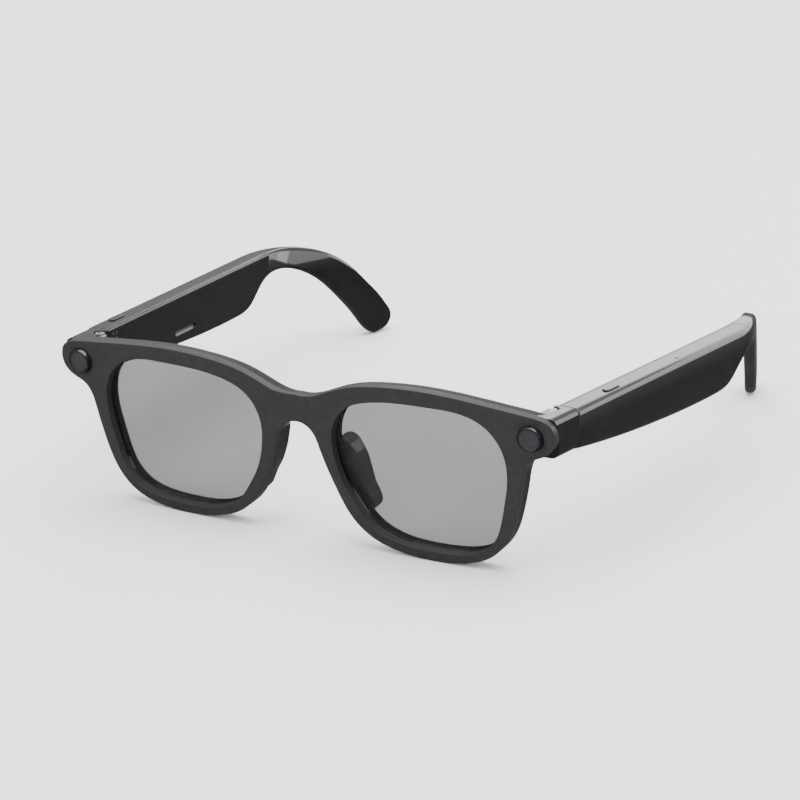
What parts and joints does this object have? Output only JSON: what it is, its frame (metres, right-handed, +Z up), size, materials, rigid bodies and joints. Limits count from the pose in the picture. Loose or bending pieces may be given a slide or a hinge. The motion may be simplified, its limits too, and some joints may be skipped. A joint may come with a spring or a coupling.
{
  "type": "smart glasses",
  "caption": "Folding camera glasses: a matte bezel on a glossy rear frame, tinted lenses, a round camera window at each upper corner, thick hinged arms with electronics and curved ear tips.",
  "frame": {"origin": "on the floor under the middle of the open glasses", "axes": "+X to the wearer's left, -Y the way the front faces, +Z up; the glasses stand on both rims and both ear tips"},
  "size_m": [0.1576, 0.1433, 0.0462],
  "materials": {
    "matte_grey": "matte",
    "gloss_black": "gloss",
    "satin_black": "satin",
    "matte_black": "matte",
    "tinted_lens": "polished",
    "dark_glass": "polished",
    "steel": "brushed",
    "flex": "satin",
    "cell": "satin",
    "board": "satin",
    "gold": "polished"
  },
  "bodies": {
    "front": {"front_bezel": "matte_grey", "rear_frame": "gloss_black", "front_flex_cable": "flex", "lens_left": "tinted_lens", "lens_right": "tinted_lens", "nose_pad_left": "gloss_black", "nose_pad_right": "gloss_black", "camera_window_left": "dark_glass", "camera_window_right": "dark_glass", "camera_ring_left": "gloss_black", "camera_ring_right": "gloss_black", "camera_module_left": "matte_black", "camera_module_right": "matte_black", "hinge_bracket_left": "steel", "hinge_bracket_right": "steel", "bracket_screw_left": "steel", "bracket_screw_right": "steel", "hinge_pin_left": "steel", "hinge_pin_right": "steel"},
    "left_arm": {"hinge_leaf_left": "steel", "leaf_screws_left": "steel", "arm_shell_left": "gloss_black", "arm_cover_left": "satin_black", "ear_tip_left": "gloss_black", "tip_anchor_left": "steel", "battery_left": "cell", "circuit_board_left": "board", "speaker_left": "matte_black", "speaker_mesh_left": "steel", "microphone_left": "board", "arm_flex_left": "flex", "tact_switch_left": "matte_black"},
    "right_arm": {"hinge_leaf_right": "steel", "leaf_screws_right": "steel", "arm_shell_right": "gloss_black", "arm_cover_right": "satin_black", "ear_tip_right": "gloss_black", "tip_anchor_right": "steel", "battery_right": "cell", "circuit_board_right": "board", "speaker_right": "matte_black", "speaker_mesh_right": "steel", "microphone_right": "board", "arm_flex_right": "flex", "tact_switch_right": "matte_black", "charge_contacts": "gold"},
    "left_button": {"button_left": "gloss_black"},
    "right_button": {"button_right": "gloss_black"}
  },
  "joints": [
    {"name": "left_arm_fold", "type": "hinge", "parent": "front", "child": "left_arm", "pos_m": [0.0672, -0.05994, 0.03764], "axis": [0, 0.0856, 0.9963], "range_deg": [0, 87]},
    {"name": "right_arm_fold", "type": "hinge", "parent": "front", "child": "right_arm", "pos_m": [-0.0672, -0.05994, 0.03764], "axis": [0, -0.0856, -0.9963], "range_deg": [0, 58]},
    {"name": "left_button_press", "type": "slide", "parent": "left_arm", "child": "left_button", "axis": [0, -0.0856, -0.9963], "range_m": [0, 0.0003], "stiffness_N_per_m": 400},
    {"name": "right_button_press", "type": "slide", "parent": "right_arm", "child": "right_button", "axis": [0, -0.0856, -0.9963], "range_m": [0, 0.0003], "stiffness_N_per_m": 400}
  ]
}
